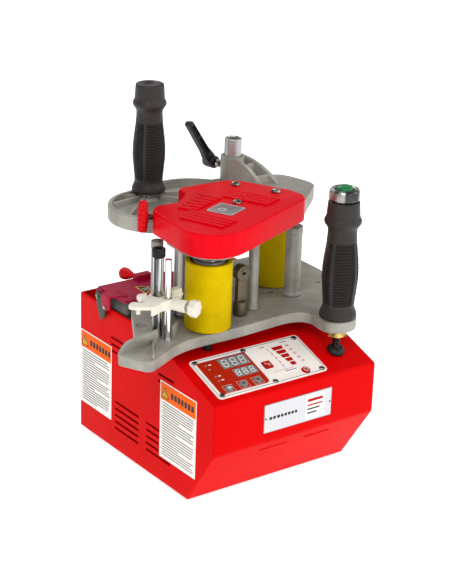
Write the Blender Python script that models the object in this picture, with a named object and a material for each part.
"""Portable edge banding machine: a heated glue unit with two pressure rollers on a sheet metal drive box.

Metres, +Z up. X runs along the front of the machine, Y goes to its back. The coordinates used below start
at the lower front left corner of the housing; the empty machine_origin moves them so that the world origin
is the middle of the bottom of the whole machine, on the surface it stands on.
"""
import math

import bmesh
import bpy
from mathutils import Matrix, Vector

# ---------------------------------------------------------------- driving dimensions
GAP = 0.0003                        # kept between pieces that touch
SEGMENTS = 20                       # facets round a turned piece

BOX_WIDTH = 0.200                   # housing, along X
BOX_LENGTH = 0.2442                 # housing, along Y
BOX_HEIGHT = 0.1546
SHEET = 0.0016                      # sheet metal thickness
FRONT_TOP = 0.1181                  # top of the upright front face, where the sloped panel starts
FRONT_LOW = 0.0645                  # bottom of the upright front face
CHAMFER_Y = 0.0428                  # how far the lower front chamfer runs back
SLOPE = math.radians(18.6)          # rise of the sloped top panel
FOOT_HEIGHT = 0.004

PLATE_LOW = 0.1550                  # cast base plate
PLATE_TOP = 0.1662
HEAD_LOW = 0.2412                   # cast head above the rollers
HEAD_TOP = 0.2570
HEAD_FLOOR = 0.2500                 # floor of the pocket in the head's left lobe
COVER_LOW = 0.2480                  # red top cover
COVER_TOP = 0.2725
COVER_WALL = 0.0025

ROLLER_RADIUS = 0.0230
ROLLER_LOW = 0.1670
ROLLER_TOP = 0.2360
SHAFT_RADIUS = 0.0050
FRONT_ROLLER = (0.0424, 0.0741)
REAR_ROLLER = (0.1714, 0.1388)
GLUE_RADIUS = 0.0118

MODULE = 0.0015                     # gear module
ROLLER_TEETH = 30
GLUE_TEETH = 18
PINION_TEETH = 15
GEAR_LOW = 0.1160
GEAR_WIDTH = 0.0080
GLUE_DIRECTION = math.radians(93.8)     # from the front roller to the glue roller
PINION_DIRECTION = math.radians(20.0)   # from the front roller to the motor pinion

POST_RIGHT = (0.1662, 0.0987)
POST_MIDDLE = (0.1072, 0.0879)
POST_LEFT = (0.0215, 0.1335)
ROD_FRONT = (-0.0096, 0.0677)
ROD_REAR = (-0.0126, 0.0802)
RIGHT_HANDLE = (0.1686, 0.0268)
LEFT_HANDLE = (0.0723, 0.2267)
COLUMN = (0.1700, 0.2135)
CUTTER = (0.0868, 0.0810)

ORIGIN_SHIFT = (-0.0842, -0.1258, FOOT_HEIGHT)

COLORS = {
    "red_paint": ((0.80, 0.010, 0.008), 0.35, 0.0),
    "cover_red": ((0.78, 0.012, 0.020), 0.40, 0.0),
    "crimson": ((0.52, 0.010, 0.060), 0.45, 0.0),
    "cast_aluminium": ((0.50, 0.50, 0.47), 0.50, 0.8),
    "steel": ((0.55, 0.54, 0.52), 0.30, 1.0),
    "chrome": ((0.80, 0.80, 0.80), 0.10, 1.0),
    "yellow_rubber": ((0.85, 0.68, 0.010), 0.55, 0.0),
    "black_rubber": ((0.030, 0.027, 0.025), 0.70, 0.0),
    "black_steel": ((0.020, 0.020, 0.020), 0.35, 0.6),
    "white_plastic": ((0.80, 0.79, 0.74), 0.40, 0.0),
    "panel_white": ((0.82, 0.83, 0.82), 0.35, 0.0),
    "display_red": ((0.52, 0.040, 0.010), 0.25, 0.0),
    "green": ((0.010, 0.22, 0.05), 0.30, 0.0),
    "brass": ((0.62, 0.46, 0.16), 0.35, 1.0),
    "bronze": ((0.36, 0.31, 0.22), 0.45, 0.9),
    "brushed_aluminium": ((0.72, 0.72, 0.72), 0.35, 0.9),
    "circuit_green": ((0.02, 0.16, 0.06), 0.50, 0.0),
}
materials = {}


# ---------------------------------------------------------------- helpers
def clear_scene():
    for item in list(bpy.data.objects):
        bpy.data.objects.remove(item, do_unlink=True)


def material(name):
    if name not in materials:
        colour, roughness, metallic = COLORS[name]
        item = bpy.data.materials.new(name)
        item.use_nodes = True
        shader = item.node_tree.nodes["Principled BSDF"]
        shader.inputs["Base Color"].default_value = (*colour, 1.0)
        shader.inputs["Roughness"].default_value = roughness
        shader.inputs["Metallic"].default_value = metallic
        materials[name] = item
    return materials[name]


def empty(name, parent, place, axis=(0, 0, 1)):
    """An empty whose local Z is the given axis and, unless that is upright, whose local Y points up."""
    item = bpy.data.objects.new(name, None)
    bpy.context.collection.objects.link(item)
    item.parent = parent
    item.location = place
    along = Vector(axis).normalized()
    if abs(along.z) < 0.99:
        side = Vector((0, 0, 1)).cross(along).normalized()
        item.rotation_euler = Matrix((side, along.cross(side), along)).transposed().to_euler()
    return item


def add_object(name, bm, colour, parent, place=(0, 0, 0), smooth=True):
    bm.normal_update()
    bmesh.ops.recalc_face_normals(bm, faces=bm.faces)
    if bm.calc_volume(signed=True) < 0:
        bmesh.ops.reverse_faces(bm, faces=bm.faces)
    mesh = bpy.data.meshes.new(name)
    bm.to_mesh(mesh)
    bm.free()
    if smooth:
        mesh.shade_smooth()
        mesh.set_sharp_from_angle(angle=math.radians(35))
    mesh.materials.append(material(colour))
    item = bpy.data.objects.new(name, mesh)
    bpy.context.collection.objects.link(item)
    item.parent = parent
    item.location = place
    return item


def combine(target, cutters, operation="DIFFERENCE"):
    """Boolean modifiers on target; the cutters stay as hidden guides."""
    for cutter in cutters:
        cutter.hide_render = True
        cutter.display_type = "WIRE"
        step = target.modifiers.new("boolean_" + cutter.name, "BOOLEAN")
        step.operation = operation
        step.solver = "EXACT"
        step.object = cutter
    return target


def circle(centre, radius, count=SEGMENTS, start=0.0):
    return [(centre[0] + radius * math.cos(start + math.tau * i / count),
             centre[1] + radius * math.sin(start + math.tau * i / count)) for i in range(count)]


def arc(centre, radius, first, last, steps):
    """Points from angle first to angle last, in degrees."""
    span = last - first
    return [(centre[0] + radius * math.cos(math.radians(first + span * i / steps)),
             centre[1] + radius * math.sin(math.radians(first + span * i / steps))) for i in range(steps + 1)]


def rounded(points, radius, steps=3):
    """A closed outline with each corner replaced by an arc of about the given radius."""
    result = []
    count = len(points)
    for i in range(count):
        corner = Vector(points[i])
        before = Vector(points[i - 1]) - corner
        after = Vector(points[(i + 1) % count]) - corner
        reach = min(radius, before.length * 0.45, after.length * 0.45)
        start = corner + before.normalized() * reach
        end = corner + after.normalized() * reach
        for k in range(steps + 1):
            t = k / steps
            result.append(tuple(start * (1 - t) ** 2 + corner * 2 * t * (1 - t) + end * t ** 2))
    return result


def box_outline(x0, x1, y0, y1):
    return [(x0, y0), (x1, y0), (x1, y1), (x0, y1)]


def plate_mesh(outline, low, high, holes=()):
    """A flat plate with holes, as one closed body."""
    bm = bmesh.new()
    edges = []
    for loop in (outline, *holes):
        verts = [bm.verts.new((x, y, low)) for x, y in loop]
        edges += [bm.edges.new((verts[i - 1], verts[i])) for i in range(len(verts))]
    bmesh.ops.triangle_fill(bm, use_beauty=True, use_dissolve=False, edges=edges)
    grown = bmesh.ops.extrude_face_region(bm, geom=bm.faces[:])
    tops = [item for item in grown["geom"] if isinstance(item, bmesh.types.BMVert)]
    bmesh.ops.translate(bm, verts=tops, vec=(0, 0, high - low))
    bm.faces.ensure_lookup_table()
    return bm


def upright(bm, origin, direction):
    """Turn a plate drawn in (s, z) upright, so that s runs along direction from origin."""
    side = Vector((direction[0], direction[1], 0)).normalized()
    across = Vector((side.y, -side.x, 0))
    matrix = Matrix((side, Vector((0, 0, 1)), across)).transposed().to_4x4()
    matrix.translation = Vector((origin[0], origin[1], 0))
    bm.transform(matrix)
    return bm


def turned_mesh(profile, count=SEGMENTS, closed=False):
    """A solid of revolution about Z from (radius, z) points, or a ring if the profile is closed."""
    bm = bmesh.new()
    rings = []
    for radius, height in profile:
        if radius < 1e-6:
            rings.append([bm.verts.new((0, 0, height))])
        else:
            rings.append([bm.verts.new((*point, height)) for point in circle((0, 0), radius, count)])
    pairs = list(zip(rings, rings[1:]))
    if closed:
        pairs.append((rings[-1], rings[0]))
    for lower, upper in pairs:
        for i in range(count):
            k = (i + 1) % count
            corners = [lower[i % len(lower)], lower[k % len(lower)], upper[k % len(upper)], upper[i % len(upper)]]
            unique = list(dict.fromkeys(corners))
            if len(unique) > 2:
                bm.faces.new(unique)
    if not closed:
        for ring in (rings[0], rings[-1]):
            if len(ring) > 2:
                bm.faces.new(ring)
    return bm


def tube_profile(inner, outer, low, high):
    return [(inner, low), (outer, low), (outer, high), (inner, high)]


def rod_profile(radius, low, high, chamfer=0.0005):
    return [(radius - chamfer, low), (radius, low + chamfer), (radius, high - chamfer), (radius - chamfer, high)]


def involute(angle):
    return math.tan(angle) - angle


def gear_outline(teeth, backlash=0.00025, phase=0.0):
    """Spur gear outline with stub involute teeth, 20 degrees pressure angle."""
    pressure = math.radians(20)
    pitch = teeth * MODULE / 2
    base = pitch * math.cos(pressure)
    half_tooth = (math.pi * MODULE / 2 - backlash) / (2 * pitch)
    radii = (max(base, pitch - 0.95 * MODULE), pitch, pitch + 0.8 * MODULE)
    root = pitch - 1.2 * MODULE
    points = []
    for tooth in range(teeth):
        centre = phase + math.tau * tooth / teeth
        flank = [(r, half_tooth + involute(pressure) - involute(math.acos(min(1.0, base / r)))) for r in radii]
        rising = [(root, flank[0][1] * 1.02)] + flank
        for r, offset in rising:
            points.append((r * math.cos(centre - offset), r * math.sin(centre - offset)))
        for r, offset in reversed(rising):
            points.append((r * math.cos(centre + offset), r * math.sin(centre + offset)))
    return points


def polar(centre, distance, angle):
    return (centre[0] + distance * math.cos(angle), centre[1] + distance * math.sin(angle))


GLUE_ROLLER = polar(FRONT_ROLLER, MODULE * (ROLLER_TEETH + GLUE_TEETH) / 2, GLUE_DIRECTION)
PINION = polar(FRONT_ROLLER, MODULE * (ROLLER_TEETH + PINION_TEETH) / 2, PINION_DIRECTION)


# ---------------------------------------------------------------- housing
def housing_profile(inset):
    """Side outline (y, z) of the box, moved inwards by inset."""
    slope_end = (BOX_HEIGHT - FRONT_TOP) / math.tan(SLOPE)
    outline = [(CHAMFER_Y, 0.0), (BOX_LENGTH, 0.0), (BOX_LENGTH, BOX_HEIGHT), (slope_end, BOX_HEIGHT),
               (0.0, FRONT_TOP), (0.0, FRONT_LOW)]
    if not inset:
        return outline
    result = []
    for i, point in enumerate(outline):
        here = Vector(point)
        back = (here - Vector(outline[i - 1])).normalized()
        ahead = (Vector(outline[(i + 1) % len(outline)]) - here).normalized()
        inward = Vector((-back.y, back.x)) + Vector((-ahead.y, ahead.x))
        result.append(tuple(here + inward * inset / (1 + back.dot(ahead))))
    return result


def along_x(bm, x0):
    """Turn a plate drawn in (y, z) with thickness along the third axis so that it runs along X from x0."""
    bm.transform(Matrix(((0, 0, 1, x0), (1, 0, 0, 0), (0, 1, 0, 0), (0, 0, 0, 1))))
    return bm


VENT_GROUPS = [(0.1300, 0.1750, 0.0240, 5), (0.0725, 0.1165, 0.0240, 5), (0.0690, 0.0965, 0.1080, 2)]
VENT_PITCH = 0.0074
VENT_HEIGHT = 0.0026


def housing_shell(root):
    shell = add_object("housing_shell", along_x(plate_mesh(housing_profile(0), 0, BOX_WIDTH), 0), "red_paint", root)
    inner = housing_profile(SHEET)
    drop = inner[0][1] + 0.002
    inner[0] = (inner[0][0] + drop * CHAMFER_Y / FRONT_LOW, -0.002)
    inner[1] = (inner[1][0], -0.002)
    hollow = add_object("guide_hollow", along_x(plate_mesh(inner, 0, BOX_WIDTH - 2 * SHEET), SHEET), "red_paint", root)
    slots = bmesh.new()
    for y0, y1, z0, rows in VENT_GROUPS:
        for row in range(rows):
            low = z0 + row * VENT_PITCH
            bmesh.ops.create_cube(slots, size=1.0, matrix=Matrix.Translation((0, (y0 + y1) / 2, low + VENT_HEIGHT / 2))
                                  @ Matrix.Diagonal((0.02, y1 - y0, VENT_HEIGHT, 1)))
    vents = add_object("guide_vents", slots, "red_paint", root)
    pot = add_object("guide_pot_opening", plate_mesh(box_outline(SHEET, 0.088, 0.150, BOX_LENGTH - SHEET),
                                                     0.14, 0.17), "red_paint", root)
    shafts = bmesh.new()
    for centre, radius in ((FRONT_ROLLER, 0.009), (GLUE_ROLLER, 0.009)):
        bmesh.ops.create_cone(shafts, cap_ends=True, segments=16, radius1=radius, radius2=radius, depth=0.04,
                              matrix=Matrix.Translation((*centre, 0.145)))
    holes = add_object("guide_shaft_holes", shafts, "red_paint", root)
    inlet = bmesh.new()
    bmesh.ops.create_cone(inlet, cap_ends=True, segments=16, radius1=0.0083, radius2=0.0083, depth=0.02,
                          matrix=Matrix.Translation((0.165, BOX_LENGTH, 0.035)) @ Matrix.Rotation(math.pi / 2, 4, "X"))
    inlet_hole = add_object("guide_inlet_hole", inlet, "red_paint", root)
    combine(shell, [hollow, vents, pot, holes, inlet_hole])


def bottom_cover(root):
    outline = box_outline(SHEET + GAP, BOX_WIDTH - SHEET - GAP, CHAMFER_Y + 0.0024, BOX_LENGTH - SHEET - GAP)
    add_object("bottom_cover", plate_mesh(outline, 0.0002, 0.0002 + SHEET), "steel", root, smooth=False)


def feet(root):
    for name, x, y in (("front_left", 0.030, 0.072), ("front_right", 0.170, 0.072),
                       ("rear_left", 0.030, 0.214), ("rear_right", 0.170, 0.214)):
        profile = [(0.0075, -FOOT_HEIGHT), (0.0090, -FOOT_HEIGHT + 0.0015), (0.0095, -0.0001)]
        add_object("foot_" + name, turned_mesh(profile, 16), "black_rubber", root, (x, y, 0))


def drive(root, pinion_axis):
    """Motor with its gearbox on the bottom cover, its pinion, and the transformer beside it."""
    motor = [(0.024, 0.0024), (0.0275, 0.006), (0.0275, 0.074), (0.020, 0.0745), (0.020, 0.088), (0.0285, 0.0885),
             (0.0285, 0.110), (0.009, 0.1103), (0.009, 0.1115), (0.0040, 0.1117), (0.0040, 0.1156)]
    add_object("drive_motor", turned_mesh(motor, 16), "steel", root, (*PINION, 0))
    core = plate_mesh(rounded(box_outline(0.118, 0.182, 0.160, 0.212), 0.006, 2), 0.0024, 0.050)
    add_object("control_transformer", core, "black_steel", root)
    phase = PINION_DIRECTION + math.pi + math.pi / PINION_TEETH
    pinion = plate_mesh(gear_outline(PINION_TEETH, phase=phase), GEAR_LOW, GEAR_LOW + GEAR_WIDTH,
                        [circle((0, 0), 0.0045, 16)])
    add_object("motor_pinion", pinion, "steel", pinion_axis)


def circuit_board(root):
    board = add_object("circuit_board", plate_mesh(box_outline(0.112, 0.186, 0.060, 0.135), 0.0120, 0.0136),
                       "circuit_green", root, smooth=False)
    lumps = bmesh.new()
    for x, y, width, depth, height in ((0.124, 0.078, 0.018, 0.024, 0.018), (0.150, 0.076, 0.026, 0.012, 0.010),
                                       (0.160, 0.108, 0.030, 0.030, 0.012)):
        bmesh.ops.create_cube(lumps, size=1.0, matrix=Matrix.Translation((x, y, 0.0130 + height / 2))
                              @ Matrix.Diagonal((width, depth, height, 1)))
    combine(board, [add_object("guide_board_parts", lumps, "circuit_green", root)], "UNION")


def cable_gland(root):
    profile = [(0.0080, -0.010), (0.0080, 0.0002 + SHEET), (0.0115, 0.0003 + SHEET), (0.0115, 0.0045), (0.0068, 0.0055),
               (0.0055, 0.0100), (0.0035, 0.0100), (0.0035, -0.010)]
    gland = turned_mesh(profile, 12, closed=True)
    gland.transform(Matrix.Translation((0.165, BOX_LENGTH - SHEET, 0.035)) @ Matrix.Rotation(-math.pi / 2, 4, "X"))
    add_object("cable_gland", gland, "black_rubber", root)


# ---------------------------------------------------------------- control panel on the slope
PANEL_X0 = 0.0100
PANEL_X1 = 0.1430
PANEL_S0 = 0.0065
PANEL_S1 = 0.0640
PANEL_THICK = 0.0014
WINDOW_THICK = 0.0010
PANEL_BUTTONS = {                       # x, distance up the slope, size, shape
    "set_button": (0.0269, 0.0158, 0.0040, "round"),
    "down_button": (0.0445, 0.0165, 0.0040, "round"),
    "up_button": (0.0616, 0.0168, 0.0040, "round"),
    "mode_button": (0.0856, 0.0336, 0.0048, "square"),
    "stop_button": (0.1195, 0.0138, 0.0042, "round"),
}


def control_panel(slope, axes):
    holes = [circle((0.0856, 0.0336), 0.0072, 16), circle((0.1195, 0.0138), 0.0046, 16)]
    outline = rounded(box_outline(PANEL_X0, PANEL_X1, PANEL_S0, PANEL_S1), 0.005)
    window = rounded(box_outline(0.0155, 0.0735, 0.0110, 0.0580), 0.005)
    add_object("panel_plate", plate_mesh(outline, 0.0001, PANEL_THICK, holes), "panel_white", slope, smooth=False)
    cutouts = [circle(PANEL_BUTTONS[name][:2], 0.0043, 16) for name in ("set_button", "down_button", "up_button")]
    low = PANEL_THICK + 0.0001
    add_object("display_window", plate_mesh(window, low, low + WINDOW_THICK, cutouts), "display_red", slope,
               smooth=False)
    for name, (x, s, size, shape) in PANEL_BUTTONS.items():
        base = 0.0024 if name in ("set_button", "down_button", "up_button") else 0.0010
        top = base + 0.0016
        outline = circle((0, 0), size, 16)
        if shape == "square":
            outline = rounded(box_outline(-size, size, -size, size), 0.001)
        colour = "brushed_aluminium" if base > 0.002 else "display_red"
        add_object(name, plate_mesh(outline, base, top), colour, axes[name])


def name_plate(root):
    plate = plate_mesh(box_outline(0.0595, 0.1435, 0.0747, 0.1050), 0, 0.0009)
    plate.transform(Matrix(((1, 0, 0, 0), (0, 0, -1, -0.0001), (0, 1, 0, 0), (0, 0, 0, 1))))
    add_object("name_plate", plate, "brushed_aluminium", root, smooth=False)


# ---------------------------------------------------------------- base plate and posts
def base_outline():
    front = [(-0.0706, 0.0597), (-0.0545, 0.0276), (-0.0330, 0.0385), (-0.0118, 0.0495), (0.0070, 0.0540),
             (0.0265, 0.0548), (0.0500, 0.0541), (0.0757, 0.0545), (0.1200, 0.0578), (0.1325, 0.0576),
             (0.1440, 0.0535), (0.1495, 0.0450), (0.1470, 0.0300)]
    tip = [(0.1478, 0.0170), (0.1576, 0.0090), (0.1700, 0.0068), (0.1800, 0.0110), (0.1875, 0.0200)]
    rear = [(0.1905, 0.0300), (0.2376, 0.1350), (0.2386, 0.1980), (0.2260, 0.2120), (0.1120, 0.2120),
            (0.0960, 0.1960), (0.0960, 0.1580), (0.0060, 0.1560), (-0.0354, 0.0848), (-0.0420, 0.0740),
            (-0.0520, 0.0680), (-0.0660, 0.0655)]
    return front + tip + rear


def ribbon(points, width):
    """Outline of a strip of the given width along a line of points."""
    sides = [[], []]
    for i, point in enumerate(points):
        before = Vector(points[max(0, i - 1)])
        after = Vector(points[min(len(points) - 1, i + 1)])
        along = (after - before).normalized()
        across = Vector((-along.y, along.x)) * width / 2
        sides[0].append(tuple(Vector(point) - across))
        sides[1].append(tuple(Vector(point) + across))
    return sides[0] + sides[1][::-1]


def base_plate(root):
    holes = [circle(FRONT_ROLLER, SHAFT_RADIUS + 0.0004), circle(GLUE_ROLLER, SHAFT_RADIUS + 0.0004),
             circle((-0.0116, 0.1090), 0.0055, 16), circle((0.1506, 0.1165), 0.0045, 16),
             circle((0.2110, 0.1125), 0.0030, 16), circle(RIGHT_HANDLE, 0.0053, 16),
             circle(REAR_ROLLER, SHAFT_RADIUS + 0.0004)]
    plate = add_object("base_plate", plate_mesh(base_outline(), PLATE_LOW, PLATE_TOP, holes), "cast_aluminium", root)
    lean = math.radians(5.8)
    wall = plate_mesh([(0.0000, -0.0020), (0.0477, -0.0020), (0.0477, 0.0128), (0.0390, 0.0122), (0.0250, 0.0115),
                       (0.0140, 0.0102), (0.0085, 0.0086), (0.0045, 0.0055), (0.0015, 0.0010)], 0, 0.0030)
    wall.transform(Matrix(((math.cos(lean), 0, -math.sin(lean), -0.0690), (math.sin(lean), 0, math.cos(lean), 0.0608),
                           (0, 1, 0, PLATE_TOP), (0, 0, 0, 1))))
    wall = add_object("guide_fence", wall, "cast_aluminium", root)
    rib = ribbon([(-0.0482, 0.0332), (-0.0440, 0.0394), (-0.0367, 0.0516), (-0.0279, 0.0631), (-0.0210, 0.0700),
                  (-0.0165, 0.0722)], 0.0022)
    curb = add_object("guide_rib", plate_mesh(rib, PLATE_TOP - 0.002, PLATE_TOP + 0.0045), "cast_aluminium", root)
    lug = plate_mesh([(-0.0030, 0.0660), (0.0095, 0.0765), (0.0078, 0.0788), (-0.0047, 0.0683)], PLATE_TOP - 0.002,
                     PLATE_TOP + 0.0120)
    lug = add_object("guide_lug", lug, "cast_aluminium", root)
    combine(plate, [wall, curb, lug], "UNION")


def posts(root):
    low = PLATE_TOP + GAP
    high = HEAD_LOW - GAP
    for name, centre, radius, flare in (("post_right", POST_RIGHT, 0.0084, 0.0098),
                                        ("post_middle", POST_MIDDLE, 0.0054, 0.0062),
                                        ("post_left", POST_LEFT, 0.0058, 0.0068)):
        profile = [(flare, low), (flare - 0.0003, low + 0.002), (radius - 0.0003, low + 0.005), (radius, high)]
        add_object(name, turned_mesh(profile), "cast_aluminium", root, (*centre, 0))


# ---------------------------------------------------------------- head, cover and column
LOBE_LEFT = (0.0570, 0.1900, 0.0487)    # centre and radius of the two arcs of the left lobe
LOBE_BACK = (0.1080, 0.1960, 0.0545)
SCREW_PLACES = [(0.1345, 0.1592), (0.1560, 0.1195), (0.1012, 0.1110)]
ARM_BACK_END = (0.2053, 0.1789)
ARM_FRONT_END = (0.1865, 0.1839)
BOSS_RADIUS = 0.0128
BOSS_TOP = 0.2850
TUBE_RADIUS = 0.0092


def head_outline():
    lobe = arc(LOBE_BACK[:2], LOBE_BACK[2], 35, 97, 6) + arc(LOBE_LEFT[:2], LOBE_LEFT[2], 97, 242, 12)
    front = [(0.0300, 0.1230), (0.0215, 0.1190), (0.0190, 0.0900), (0.0240, 0.0640), (0.0420, 0.0520),
             (0.0540, 0.0520), (0.1540, 0.0960), (0.1640, 0.0945), (0.1690, 0.1000)]
    right = [(0.1820, 0.1075), (0.2383, 0.1576), (0.2390, 0.1690), (0.2365, 0.1830), (0.2329, 0.1953),
             (0.2278, 0.2046), (0.2203, 0.2090), (0.1950, 0.2120), (0.1830, 0.2200), (0.1700, 0.2263),
             (0.1620, 0.2263)]
    return lobe + front + right


def capsule(first, second, shrink):
    """Outline of the two lobe arcs, moved inwards by shrink."""
    return (arc(second[:2], second[2] - shrink, -40, 97, 10) + arc(first[:2], first[2] - shrink, 97, 262, 12))


def head_casting(root):
    holes = [circle(point, SHAFT_RADIUS + 0.0004) for point in (FRONT_ROLLER, GLUE_ROLLER, REAR_ROLLER)]
    head = add_object("head_casting", plate_mesh(head_outline(), HEAD_LOW, HEAD_TOP, holes), "cast_aluminium", root)
    parts = [boss_guide(root), arm_guide(root), block_guide(root)]
    for i, point in enumerate(SCREW_PLACES):
        stud = turned_mesh([(0.0065, HEAD_TOP - 0.003), (0.0055, COVER_TOP - COVER_WALL - GAP)], 12)
        parts.append(add_object("guide_stud_%d" % i, stud, "cast_aluminium", root, (*point, 0)))
    combine(head, parts, "UNION")
    pockets = []
    centre = Vector(LEFT_HANDLE)
    whole = plate_mesh(pocket_outline(), HEAD_FLOOR, HEAD_TOP + 0.002)
    pocket = add_object("guide_pocket", whole, "cast_aluminium", root)
    ribs = bmesh.new()
    for angle in (165, 192, 222, 300, 340):
        middle = centre + Vector((math.cos(math.radians(angle)), math.sin(math.radians(angle)))) * 0.060
        bmesh.ops.create_cube(ribs, size=1.0, matrix=Matrix.Translation((*middle, HEAD_FLOOR + 0.001))
                              @ Matrix.Rotation(math.radians(angle), 4, "Z")
                              @ Matrix.Diagonal((0.088, 0.0022, 0.010, 1)))
    rib_cutter = add_object("guide_pocket_ribs", ribs, "cast_aluminium", root)
    combine(pocket, [rib_cutter])
    pockets.append(pocket)
    for i, (start, end) in enumerate(((0.012, 0.0225), (0.0250, 0.0385))):
        pockets.append(add_object("guide_arm_pocket_%d" % i, arm_pocket(start, end), "cast_aluminium", root))
    tube = turned_mesh([(TUBE_RADIUS + GAP, HEAD_LOW - 0.002), (TUBE_RADIUS + GAP, BOSS_TOP + 0.002)])
    pockets.append(add_object("guide_tube_hole", tube, "cast_aluminium", root, (*COLUMN, 0)))
    combine(head, pockets)


def pocket_outline():
    """Inside of the left lobe, up to the wall under the cover."""
    far = arc(LOBE_BACK[:2], LOBE_BACK[2] - 0.0045, 20, 97, 6)
    left = arc(LOBE_LEFT[:2], LOBE_LEFT[2] - 0.0045, 97, 240, 12)
    return far + left + [(0.0700, 0.1700), (0.1330, 0.1880), (0.1480, 0.1960)]


def boss_guide(root):
    profile = [(BOSS_RADIUS, HEAD_LOW + 0.001), (BOSS_RADIUS, BOSS_TOP - 0.001), (BOSS_RADIUS - 0.001, BOSS_TOP)]
    return add_object("guide_boss", turned_mesh(profile), "cast_aluminium", root, (*COLUMN, 0))


def arm_height(t):
    """Top of the arm, t from 0 at the boss to 1 where it meets the head."""
    return BOSS_TOP - 0.0005 - (BOSS_TOP - HEAD_TOP) * t * t


def arm_edges():
    back = Vector((0.1780, 0.2233))
    front = Vector((0.1600, 0.2050))
    return back, Vector(ARM_BACK_END), front, Vector(ARM_FRONT_END)


def arm_guide(root):
    back, back_end, front, front_end = arm_edges()
    bm = bmesh.new()
    steps = 6
    rows = []
    for i in range(steps + 1):
        t = i / steps
        a = back.lerp(back_end, t)
        b = front.lerp(front_end, t)
        high = max(arm_height(t), HEAD_TOP - 0.0015)
        rows.append([bm.verts.new((*a, HEAD_LOW + 0.003)), bm.verts.new((*b, HEAD_LOW + 0.003)),
                     bm.verts.new((*b, high)), bm.verts.new((*a, high))])
    for first, second in zip(rows, rows[1:]):
        for k in range(4):
            bm.faces.new((first[k], first[(k + 1) % 4], second[(k + 1) % 4], second[k]))
    bm.faces.new(rows[0])
    bm.faces.new(rows[-1])
    return add_object("guide_arm", bm, "cast_aluminium", root)


def arm_pocket(start, end):
    """A pocket between the arm's two rails; start and end are distances from the boss centre line."""
    back, back_end, front, front_end = arm_edges()
    length = (back_end - back).length
    corners = []
    for distance, side in ((start, 0.18), (end, 0.18), (end, 0.82), (start, 0.82)):
        t = distance / length
        corners.append(tuple(back.lerp(back_end, t).lerp(front.lerp(front_end, t), side)))
    return plate_mesh(corners, HEAD_TOP + 0.0005, BOSS_TOP + 0.004)


def block_guide(root):
    """Thickening under the right end of the head, down to the right post."""
    outline = [(0.1800, 0.1200), (0.1830, 0.1110), (0.2330, 0.1560), (0.2340, 0.1690), (0.2290, 0.1900), (0.2200, 0.2020),
               (0.2000, 0.2020), (0.2000, 0.1500)]
    return add_object("guide_block", plate_mesh(outline, HEAD_LOW - 0.005, HEAD_LOW + 0.001), "cast_aluminium", root)


COVER_OUTLINE = [(0.0275, 0.1450), (0.0160, 0.1350), (0.0125, 0.0960), (0.0100, 0.0770), (0.0115, 0.0610),
                 (0.0200, 0.0475), (0.0330, 0.0395), (0.0490, 0.0385), (0.0600, 0.0415), (0.1600, 0.0835),
                 (0.1700, 0.0905), (0.1765, 0.1040), (0.1740, 0.1180), (0.1480, 0.1690), (0.1400, 0.1765),
                 (0.1300, 0.1790), (0.0830, 0.1815), (0.0748, 0.1775), (0.0765, 0.1650), (0.0645, 0.1535),
                 (0.0530, 0.1440)]
COVER_NOTCH = [(0.0318, 0.1380), (0.0600, 0.1100), (0.1500, 0.0985), (0.1900, 0.1000), (0.1900, 0.2000),
               (0.0318, 0.2000)]


def offset_outline(points, distance):
    """Move a closed outline inwards, whichever way round it is drawn."""
    area = sum(points[i - 1][0] * points[i][1] - points[i][0] * points[i - 1][1] for i in range(len(points)))
    turn = 1 if area > 0 else -1
    result = []
    for i, point in enumerate(points):
        here = Vector(point)
        back = (here - Vector(points[i - 1])).normalized()
        ahead = (Vector(points[(i + 1) % len(points)]) - here).normalized()
        inward = (Vector((-back.y, back.x)) + Vector((-ahead.y, ahead.x))) * turn
        result.append(tuple(here + inward * distance / max(0.6, 1 + back.dot(ahead))))
    return result


def top_cover(root):
    outline = rounded(COVER_OUTLINE, 0.004, 2)
    cover = add_object("top_cover", plate_mesh(outline, COVER_LOW, COVER_TOP), "cover_red", root)
    inner = plate_mesh(offset_outline(COVER_OUTLINE, COVER_WALL), COVER_LOW - 0.002, COVER_TOP - COVER_WALL)
    hollow = add_object("guide_cover_hollow", inner, "cover_red", root)
    notch = add_object("guide_cover_notch", plate_mesh(COVER_NOTCH, COVER_LOW - 0.002, HEAD_TOP + GAP),
                       "cover_red", root)
    holes = bmesh.new()
    for point in SCREW_PLACES:
        bmesh.ops.create_cone(holes, cap_ends=True, segments=12, radius1=0.0024, radius2=0.0024, depth=0.02,
                              matrix=Matrix.Translation((*point, COVER_TOP)))
    bmesh.ops.create_cone(holes, cap_ends=True, segments=12, radius1=0.0033, radius2=0.0033, depth=0.024,
                          matrix=Matrix.Translation(Vector(KNOB_PLACE) + Vector(KNOB_AXIS) * 0.022)
                          @ Vector((0, 0, 1)).rotation_difference(Vector(KNOB_AXIS)).to_matrix().to_4x4())
    screws = add_object("guide_cover_holes", holes, "cover_red", root)
    combine(cover, [hollow, notch, screws])
    for i, point in enumerate(SCREW_PLACES):
        seat = COVER_TOP + 0.0002
        profile = [(0.0018, COVER_TOP - 0.0020), (0.0018, seat), (0.0048, seat), (0.0044, seat + 0.0016),
                   (0.0028, seat + 0.0030), (0.0008, seat + 0.0034)]
        add_object("cover_screw_%d" % (i + 1), turned_mesh(profile, 12), "steel", root, (*point, 0))


def column_tube(axis):
    profile = tube_profile(0.0068, TUBE_RADIUS, 0.1850, 0.3040)
    add_object("column_tube", turned_mesh(profile, closed=True), "steel", axis)


LEVER_AXIS = Vector((-0.2588, 0.9659, 0.0))
LEVER_HEIGHT = 0.2718


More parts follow.
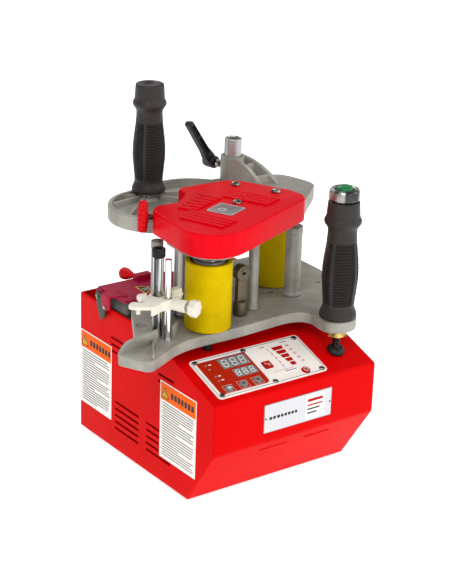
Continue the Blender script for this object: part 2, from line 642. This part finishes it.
def clamp_lever(axis):
    """The lever turns about its screw; both are drawn along local Z, which leaves the boss."""
    screw = turned_mesh(rod_profile(0.0040, BOSS_RADIUS + 0.0006, 0.0220), 12)
    add_object("clamp_lever_screw", screw, "steel", axis)
    hub = add_object("clamp_lever", turned_mesh([(0.0060, 0.0223), (0.0068, 0.0235), (0.0066, 0.0350), (0.0050, 0.0385)],
                                               16), "black_rubber", axis)
    bm = bmesh.new()
    start = Vector((0.0, 0.0, 0.0300))
    end = start + Vector((0.50, 0.845, 0.18)) * 0.0560
    for centre, width, height in ((start, 0.0090, 0.0085), (start.lerp(end, 0.6), 0.0070, 0.0055), (end, 0.0085, 0.0055)):
        along = (end - start).normalized()
        across = along.cross(Vector((0, 0, 1))).normalized()
        up = along.cross(across)
        ring = [centre + across * width / 2 * a + up * height / 2 * b for a, b in ((-1, -1), (1, -1), (1, 1), (-1, 1))]
        for corner in ring:
            bm.verts.new(corner)
    bm.verts.ensure_lookup_table()
    for level in range(2):
        for k in range(4):
            bm.faces.new([bm.verts[level * 4 + j] for j in (k, (k + 1) % 4)]
                         + [bm.verts[level * 4 + 4 + j] for j in ((k + 1) % 4, k)])
    bm.faces.new(bm.verts[:4])
    bm.faces.new(bm.verts[8:12])
    arm = add_object("guide_lever_arm", bm, "black_rubber", axis)
    combine(hub, [arm], "UNION")


KNOB_PLACE = (0.0069, 0.1459, 0.2645)
KNOB_AXIS = (0.803, -0.596, 0.0)


def pressure_knob(axis):
    """Scalloped red knob with its stud in one piece, drawn along local Z towards the cover."""
    count = 32
    bm = bmesh.new()
    levels = []
    for scale, height in ((0.86, 0.0), (1.0, 0.0022), (1.0, 0.0068), (0.86, 0.0090)):
        ring = []
        for i in range(count):
            angle = math.tau * i / count
            radius = 0.0155 * scale + 0.0006 * (1 if i % 2 else -1)
            ring.append(bm.verts.new((radius * math.cos(angle), radius * math.sin(angle), height)))
        levels.append(ring)
    for lower, upper in zip(levels, levels[1:]):
        for i in range(count):
            k = (i + 1) % count
            bm.faces.new((lower[i], lower[k], upper[k], upper[i]))
    bm.faces.new(levels[0])
    bm.faces.new(levels[-1])
    knob = add_object("pressure_knob", bm, "cover_red", axis)
    stud = turned_mesh([(0.0030, 0.0080), (0.0030, 0.0270)], 12)
    combine(knob, [add_object("guide_knob_stud", stud, "cover_red", axis)], "UNION")


# ---------------------------------------------------------------- rollers
def pressure_roller(prefix, axis, foot):
    sleeve = tube_profile(0.0188, ROLLER_RADIUS, ROLLER_LOW, ROLLER_TOP)
    add_object(prefix + "_roller_sleeve", turned_mesh(sleeve, 32, closed=True), "yellow_rubber", axis)
    core = [(SHAFT_RADIUS, foot), (SHAFT_RADIUS, ROLLER_LOW + 0.0006), (0.0182, ROLLER_LOW + 0.0008),
            (0.0182, ROLLER_TOP - 0.0025), (0.0165, ROLLER_TOP - 0.0022), (0.0165, ROLLER_TOP + 0.0006),
            (0.0080, ROLLER_TOP + 0.0010), (0.0080, HEAD_LOW - 0.0008), (SHAFT_RADIUS, HEAD_LOW - 0.0006),
            (SHAFT_RADIUS, HEAD_LOW + 0.010)]
    add_object(prefix + "_roller_core", turned_mesh(core), "steel", axis)


def gear(name, teeth, axis, phase):
    wheel = plate_mesh(gear_outline(teeth, phase=phase), GEAR_LOW, GEAR_LOW + GEAR_WIDTH,
                       [circle((0, 0), SHAFT_RADIUS + GAP, 16)])
    add_object(name, wheel, "steel", axis)


def rollers(front_axis, rear_axis, glue_axis):
    pressure_roller("front", front_axis, GEAR_LOW - 0.002)
    pressure_roller("rear", rear_axis, PLATE_LOW + 0.0004)
    glue = [(SHAFT_RADIUS, GEAR_LOW - 0.002), (SHAFT_RADIUS, PLATE_TOP + 0.0008), (GLUE_RADIUS, PLATE_TOP + 0.0012),
            (GLUE_RADIUS, HEAD_LOW - 0.0035), (SHAFT_RADIUS, HEAD_LOW - 0.0030), (SHAFT_RADIUS, HEAD_LOW + 0.010)]
    add_object("glue_roller", turned_mesh(glue), "steel", glue_axis)
    gear("front_roller_gear", ROLLER_TEETH, front_axis, PINION_DIRECTION)
    mesh_angle = GLUE_DIRECTION - PINION_DIRECTION
    tooth = math.tau / ROLLER_TEETH
    slip = (mesh_angle / tooth) % 1.0
    phase = GLUE_DIRECTION + math.pi + (slip + 0.5) * math.tau / GLUE_TEETH
    gear("glue_roller_gear", GLUE_TEETH, glue_axis, phase)


# ---------------------------------------------------------------- handles
GRIP_PROFILE = [(0.0182, 0.0000), (0.0188, 0.0030), (0.0170, 0.0090), (0.0155, 0.0125), (0.0170, 0.0260), (0.0183, 0.0420),
                (0.0176, 0.0600), (0.0155, 0.0770), (0.0145, 0.0900), (0.0150, 0.0945), (0.0183, 0.0985),
                (0.0187, 0.1015), (0.0170, 0.1050), (0.0160, 0.1190)]


def grips(root):
    right_low = PLATE_TOP + GAP
    core = [(0.0050, 0.1480)] + [(0.0050, right_low - 0.0001)] + [(r, right_low + h) for r, h in GRIP_PROFILE]
    core[-1] = (0.0160, 0.2878)
    add_object("right_grip", turned_mesh(core), "black_rubber", root, (*RIGHT_HANDLE, 0))
    spacer = [(0.0112, HEAD_FLOOR + GAP), (0.0112, HEAD_FLOOR + 0.0070), (0.0100, HEAD_FLOOR + 0.0076)]
    add_object("left_grip_spacer", turned_mesh(spacer), "cast_aluminium", root, (*LEFT_HANDLE, 0))
    low = HEAD_FLOOR + 0.0080
    scale = 0.93
    profile = [(r * scale, low + h * scale) for r, h in GRIP_PROFILE]
    profile[-1] = (0.0142, 0.3710)
    profile.append((0.0125, 0.3722))
    add_object("left_grip", turned_mesh(profile), "black_rubber", root, (*LEFT_HANDLE, 0))


def switch(root, axis):
    ring = [(0.0110, 0.2882), (0.0145, 0.2882), (0.0150, 0.2895), (0.0150, 0.2985), (0.0138, 0.3000), (0.0105, 0.3005),
            (0.0093, 0.2990), (0.0093, 0.2900)]
    add_object("switch_bezel", turned_mesh(ring, closed=True), "chrome", root, (*RIGHT_HANDLE, 0))
    dome = [(0.0086, 0.2925), (0.0086, 0.3000), (0.0070, 0.3020), (0.0040, 0.3033), (0.0010, 0.3037)]
    add_object("start_button", turned_mesh(dome), "green", axis)


def support_foot(root):
    """Lock nut and rubber-tipped screw under the right arm; the screw bears on the sloped panel."""
    nut_low = PLATE_LOW - 0.0075
    nut = plate_mesh(circle((0, 0), 0.0098, 6), nut_low, PLATE_LOW - GAP, [circle((0, 0), 0.0054, 16)])
    add_object("lock_nut", nut, "brass", root, (*RIGHT_HANDLE, 0))
    slope_height = FRONT_TOP + RIGHT_HANDLE[1] * math.tan(SLOPE)
    bm = bmesh.new()
    outline = circle((0, 0), 0.0092, 16)
    lower = [bm.verts.new((x, y, slope_height + y * math.tan(SLOPE) + 0.0004)) for x, y in outline]
    upper = [bm.verts.new((x * 0.9, y * 0.9, slope_height + y * 0.9 * math.tan(SLOPE) + 0.0034)) for x, y in outline]
    neck = [bm.verts.new((x * 0.42, y * 0.42, slope_height + 0.0062)) for x, y in outline]
    top = [bm.verts.new((x * 0.42, y * 0.42, 0.1474)) for x, y in outline]
    for first, second in ((lower, upper), (upper, neck), (neck, top)):
        for i in range(16):
            k = (i + 1) % 16
            bm.faces.new((first[i], first[k], second[k], second[i]))
    bm.faces.new(lower)
    bm.faces.new(top)
    add_object("support_foot", bm, "black_steel", root, (*RIGHT_HANDLE, 0))


# ---------------------------------------------------------------- height slider on its two rods
SLIDER_LOW = 0.1985
SLIDER_HIGH = 0.2085
FRONT_KNOB_AXIS = (0.450, -0.893, 0.0)


def guide_rods(root):
    low = PLATE_TOP + GAP
    add_object("guide_rod_front", turned_mesh(rod_profile(0.0033, low, 0.2478), 16), "chrome", root, (*ROD_FRONT, 0))
    add_object("guide_rod_rear", turned_mesh(rod_profile(0.0052, low, 0.2470), 16), "chrome", root, (*ROD_REAR, 0))
    head = [(0.0062, 0.2473), (0.0066, 0.2478), (0.0066, 0.2552), (0.0062, 0.2558)]
    add_object("rod_cap_screw", turned_mesh(head, 16), "black_steel", root, (*ROD_REAR, 0))


def height_slider(axis, front_knob_axis, rear_knob_axis):
    """White block that rides on both rods; it holds down the edging strip."""
    rods = [circle((point[0] - ROD_FRONT[0], point[1] - ROD_FRONT[1]), radius + 0.0003, 16)
            for point, radius in ((ROD_FRONT, 0.0033), (ROD_REAR, 0.0052))]
    hub = [(-0.0120, -0.0070), (0.0060, -0.0062), (0.0075, 0.0000), (0.0075, 0.0190), (-0.0060, 0.0215),
           (-0.0125, 0.0160)]
    block = add_object("height_slider", plate_mesh(hub, SLIDER_LOW, SLIDER_HIGH, rods), "white_plastic", axis)
    arm = [(-0.0257, -0.0129), (-0.0095, -0.0066), (-0.0095, 0.0185), (-0.0267, 0.0030), (-0.0330, 0.0100),
           (-0.0385, 0.0085), (-0.0425, 0.0010), (-0.0400, -0.0035), (-0.0330, -0.0080)]
    fin = [(-0.0257, -0.0129), (-0.0100, -0.0067), (-0.0109, -0.0044), (-0.0266, -0.0106)]
    tab = [(-0.0365, -0.0010), (-0.0330, -0.0030), (-0.0322, -0.0008), (-0.0357, 0.0012)]
    for name, outline, low, high in (("arm", arm, 0.2050, SLIDER_HIGH - 0.0001), ("fin", fin, 0.1990, 0.2062),
                                     ("tab", tab, 0.1992, 0.2062)):
        combine(block, [add_object("guide_slider_" + name, plate_mesh(outline, low, high), "white_plastic", axis)],
                "UNION")
    boss = turned_mesh([(0.0056, -0.0010), (0.0060, 0.0150), (0.0052, 0.0160)], 16)
    turn = Vector((0, 0, 1)).rotation_difference(Vector(FRONT_KNOB_AXIS)).to_matrix().to_4x4()
    boss.transform(Matrix.Translation((0, 0, (SLIDER_LOW + SLIDER_HIGH) / 2)) @ turn
                   @ Matrix.Translation((0, 0, 0.0052)))
    combine(block, [add_object("guide_slider_boss", boss, "white_plastic", axis)], "UNION")
    thumb = [(0.0020, 0.0003), (0.0020, 0.0030), (0.0075, 0.0032), (0.0085, 0.0048), (0.0085, 0.0100), (0.0076, 0.0115)]
    add_object("slider_knob_front", turned_mesh(thumb, 20), "white_plastic", front_knob_axis)
    small = [(0.0018, 0.0003), (0.0018, 0.0020), (0.0052, 0.0022), (0.0062, 0.0034), (0.0062, 0.0140), (0.0052, 0.0152)]
    add_object("slider_knob_rear", turned_mesh(small, 20), "white_plastic", rear_knob_axis)


# ---------------------------------------------------------------- glue pot
POT_HINGE = (-0.0012, 0.2025, 0.1640)
POT_X0 = 0.0035
POT_X1 = 0.0840
POT_Y0 = 0.1600
POT_Y1 = 0.2030
POT_TOP = 0.1690
EAR_X = -0.0045


def glue_pot(root):
    outline = rounded(box_outline(POT_X0, POT_X1, POT_Y0, POT_Y1), 0.004, 2)
    pot = add_object("glue_pot", plate_mesh(outline, 0.1180, POT_TOP), "cast_aluminium", root)
    well = rounded(box_outline(POT_X0 + 0.004, POT_X1 - 0.004, POT_Y0 + 0.004, POT_Y1 - 0.004), 0.003, 2)
    combine(pot, [add_object("guide_pot_well", plate_mesh(well, 0.1230, POT_TOP + 0.003), "cast_aluminium", root)])
    heater = plate_mesh(box_outline(0.0120, 0.0700, 0.1700, 0.1960), 0.1060, 0.1180 - GAP)
    add_object("heater_block", heater, "bronze", root, smooth=False)


def hinge_ear(root):
    """Hooked side plate of the lid hinge, with its pin and the stand-off that carries it on the housing."""
    outline = [(0.1870, 0.1585), (0.1895, 0.1455), (0.1940, 0.1400), (0.1990, 0.1425), (0.2045, 0.1550), (0.2062, 0.1690),
               (0.1985, 0.1690), (0.1900, 0.1660)]
    ear = add_object("hinge_ear", along_x(plate_mesh(outline, 0, 0.0016), EAR_X), "black_steel", root)
    pin = plate_mesh(circle(POT_HINGE[1:], 0.0016, 12), 0.0010, 0.0052)
    standoff = plate_mesh(circle((0.1940, 0.1465), 0.0022, 12), 0.0010, -EAR_X - GAP)
    combine(ear, [add_object("guide_ear_pin", along_x(pin, EAR_X), "black_steel", root),
                  add_object("guide_ear_standoff", along_x(standoff, EAR_X), "black_steel", root)], "UNION")


def pot_lid(axis):
    """Flat lid with its hinge strap on the left and a grip block; local origin on the hinge."""
    place = Vector(POT_HINGE)
    outline = box_outline(-0.0005 - place.x, 0.0860 - place.x, 0.1572 - place.y, 0.2085 - place.y)
    lid = add_object("pot_lid", plate_mesh(rounded(outline, 0.0015, 1), POT_TOP + 0.0005 - place.z,
                                           POT_TOP + 0.0030 - place.z), "crimson", axis)
    strap = [(y - place.y, z - place.z) for y, z in ((0.1975, 0.1600), (0.2080, 0.1600), (0.2080, 0.1714),
                                                     (0.1975, 0.1714))]
    strap = along_x(plate_mesh(strap, 0, 0.0040, [circle((0, 0), 0.0019, 12)]), -0.0026 - place.x)
    block = plate_mesh(box_outline(0.0420 - place.x, 0.0605 - place.x, 0.1992 - place.y, 0.2084 - place.y),
                       0.1710 - place.z, 0.1775 - place.z)
    clasp = [(y - place.y, z - place.z) for y, z in ((0.1743, 0.1590), (0.1800, 0.1560), (0.1860, 0.1555),
                                                     (0.1893, 0.1600), (0.1893, 0.1728), (0.1743, 0.1728))]
    clasp = along_x(plate_mesh(clasp, 0, 0.0018), -0.0080 - place.x)
    band = [(-0.0079, 0.1745), (0.0105, 0.1675), (0.0110, 0.1880), (-0.0079, 0.1890)]
    band = plate_mesh([(x - place.x, y - place.y) for x, y in band], 0.1712 - place.z, 0.1730 - place.z)
    for name, bm in (("strap", strap), ("block", block), ("band", band), ("clasp", clasp)):
        combine(lid, [add_object("guide_lid_" + name, bm, "crimson", axis)], "UNION")
    profile = [(0.0026, 0.0003), (0.0026, 0.0030), (0.0036, 0.0045), (0.0060, 0.0150), (0.0066, 0.0185), (0.0056, 0.0222)]
    knob = turned_mesh(profile, 16)
    knob.transform(Matrix.Translation((0.0440 - place.x, 0.2088 - place.y, 0.1745 - place.z))
                   @ Matrix.Rotation(math.radians(-100), 4, "X"))
    add_object("lid_knob", knob, "cover_red", axis)


def cutter(axis):
    """Bar that swings a blade across the strip; it pivots on its lower knuckle."""
    low = PLATE_TOP + GAP
    bar = add_object("cutter_bar", plate_mesh(rounded(box_outline(-0.0055, 0.0060, -0.0030, 0.0030), 0.001, 1),
                                              low + 0.010, 0.2150), "bronze", axis)
    knuckle = turned_mesh([(0.0050, low), (0.0072, low + 0.0015), (0.0072, low + 0.0140), (0.0060, low + 0.0150)], 20)
    head = turned_mesh([(0.0075, -0.0048), (0.0082, -0.0040), (0.0082, 0.0040), (0.0075, 0.0048)], 20)
    head.transform(Matrix.Translation((0.0, 0.0, 0.2115)) @ Matrix.Rotation(math.pi / 2, 4, "X"))
    combine(bar, [add_object("guide_cutter_knuckle", knuckle, "bronze", axis),
                  add_object("guide_cutter_head", head, "bronze", axis)], "UNION")
    bore = turned_mesh([(0.0028, -0.02), (0.0028, 0.02)], 12)
    bore.transform(Matrix.Translation((0.0, 0.0, 0.2115)) @ Matrix.Rotation(math.pi / 2, 4, "X"))
    combine(bar, [add_object("guide_cutter_bore", bore, "bronze", axis)])


# ---------------------------------------------------------------- assembly
def slope_frame(root):
    """An empty at the lower edge of the sloped panel: local X along the machine, local Y up the slope."""
    item = bpy.data.objects.new("slope_frame", None)
    bpy.context.collection.objects.link(item)
    item.parent = root
    item.location = (0, 0, FRONT_TOP)
    item.rotation_euler = (SLOPE, 0, 0)
    return item


def build():
    clear_scene()
    root = empty("machine_origin", None, ORIGIN_SHIFT)
    slope = slope_frame(root)
    housing_shell(root)
    bottom_cover(root)
    feet(root)
    drive(root, empty("axis_motor_pinion", root, (*PINION, 0)))
    circuit_board(root)
    cable_gland(root)
    button_axes = {name: empty("axis_" + name, slope, (x, s, 0)) for name, (x, s, _, _) in PANEL_BUTTONS.items()}
    control_panel(slope, button_axes)
    name_plate(root)
    base_plate(root)
    posts(root)
    head_casting(root)
    top_cover(root)
    column_tube(empty("axis_column", root, (*COLUMN, 0)))
    clamp_lever(empty("axis_clamp_lever", root, (*COLUMN, LEVER_HEIGHT), LEVER_AXIS))
    pressure_knob(empty("axis_pressure_knob", root, KNOB_PLACE, KNOB_AXIS))
    rollers(empty("axis_front_roller", root, (*FRONT_ROLLER, 0)), empty("axis_rear_roller", root, (*REAR_ROLLER, 0)),
            empty("axis_glue_roller", root, (*GLUE_ROLLER, 0)))
    grips(root)
    switch(root, empty("axis_start_button", root, (*RIGHT_HANDLE, 0)))
    support_foot(root)
    guide_rods(root)
    slider = empty("axis_height_slider", root, (*ROD_FRONT, 0))
    middle = (SLIDER_LOW + SLIDER_HIGH) / 2
    front_knob = Vector(FRONT_KNOB_AXIS) * 0.0213
    height_slider(slider, empty("axis_slider_knob_front", slider, (front_knob.x, front_knob.y, middle), FRONT_KNOB_AXIS),
                  empty("axis_slider_knob_rear", slider, (0.0076, 0.0125, middle + 0.0020), (1, 0, 0)))
    glue_pot(root)
    hinge_ear(root)
    pot_lid(empty("axis_pot_lid", root, POT_HINGE))
    cutter(empty("axis_cutter_bar", root, (*CUTTER, 0)))
    bpy.context.view_layer.update()


build()
